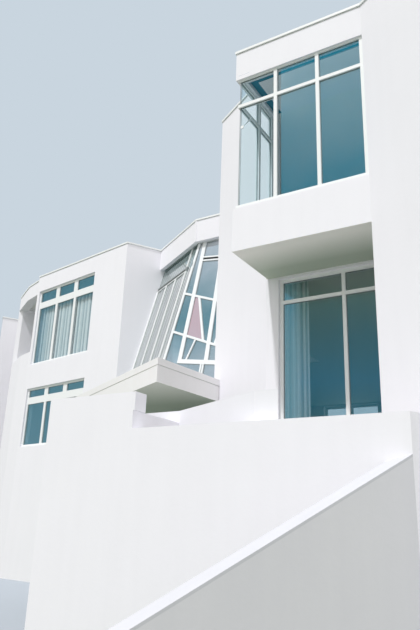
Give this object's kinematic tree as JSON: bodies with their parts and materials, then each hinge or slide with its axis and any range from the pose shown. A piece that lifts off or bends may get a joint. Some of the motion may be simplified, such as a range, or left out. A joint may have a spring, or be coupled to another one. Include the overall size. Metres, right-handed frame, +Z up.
{
  "type": "detached house",
  "caption": "White faceted detached house with a corner bay window over a recess, a leaning glazed hall under a folded fascia, a bedroom wing, a pointed garden slab and terrace walls.",
  "frame": {"origin": "On the lowest ground, in the middle of the whole plan.", "axes": "X runs to the right along the bay's front, Y runs into the house, Z is up."},
  "size_m": [21.2408, 17.8704, 10.28],
  "materials": {
    "white_render": "smooth white painted render",
    "grey_render": "pale grey painted render",
    "slab_concrete": "fair-faced pale concrete",
    "floor_concrete": "smooth pale concrete",
    "roof_covering": "flat grey roofing sheet",
    "white_frames": "white powder-coated frames",
    "rose_glass": "pale rose glass",
    "rubber_seal": "black rubber seal",
    "glass": "tinted clear glass",
    "curtain": "plain pale cloth"
  },
  "bodies": {
    "root": {"tower_floors": "floor_concrete", "tower_roof": "roof_covering", "wing_floors": "floor_concrete", "wing_roof": "roof_covering", "hall_roof": "roof_covering", "west_wall": "white_render", "recess_wall": "white_render", "recess_side_wall": "white_render", "east_wall": "white_render", "tower_left_wall": "white_render", "right_wall": "white_render", "back_wall": "white_render", "left_wall": "white_render", "far_front_wall": "white_render", "far_side_wall": "white_render", "notch_wall": "white_render", "notch_side_wall": "white_render", "loggia_back_wall": "white_render", "loggia_parapet": "white_render", "loggia_fascia": "white_render", "wing_front_wall": "white_render", "wing_side_wall": "white_render", "bay_base": "white_render", "bay_roof": "white_render", "bay_frame": "white_frames", "bay_glass": "glass", "recess_frame": "white_frames", "recess_glass": "glass", "wing_frames": "white_frames", "wing_glass": "glass", "plain_frames": "white_frames", "plain_glass": "glass", "hall_base_wall": "white_render", "hall_fascia": "white_render", "left_lean_frame": "white_frames", "left_lean_glass": "glass", "right_lean_frame": "white_frames", "right_lean_glass": "glass", "rose_glass": "rose_glass", "rail_seals": "rubber_seal", "tower_copings": "white_frames", "wing_copings": "white_frames", "end_coping": "white_frames", "garden_slab": "slab_concrete", "garden_kerb": "slab_concrete", "terrace_deck": "floor_concrete", "terrace_wall": "white_render", "terrace_side_walls": "white_render", "planter_wall": "white_render", "slope_wall": "grey_render", "bed_wall": "white_render", "slope_coping": "white_render", "recess_curtain": "curtain", "wing_curtains": "curtain"}
  },
  "joints": []
}
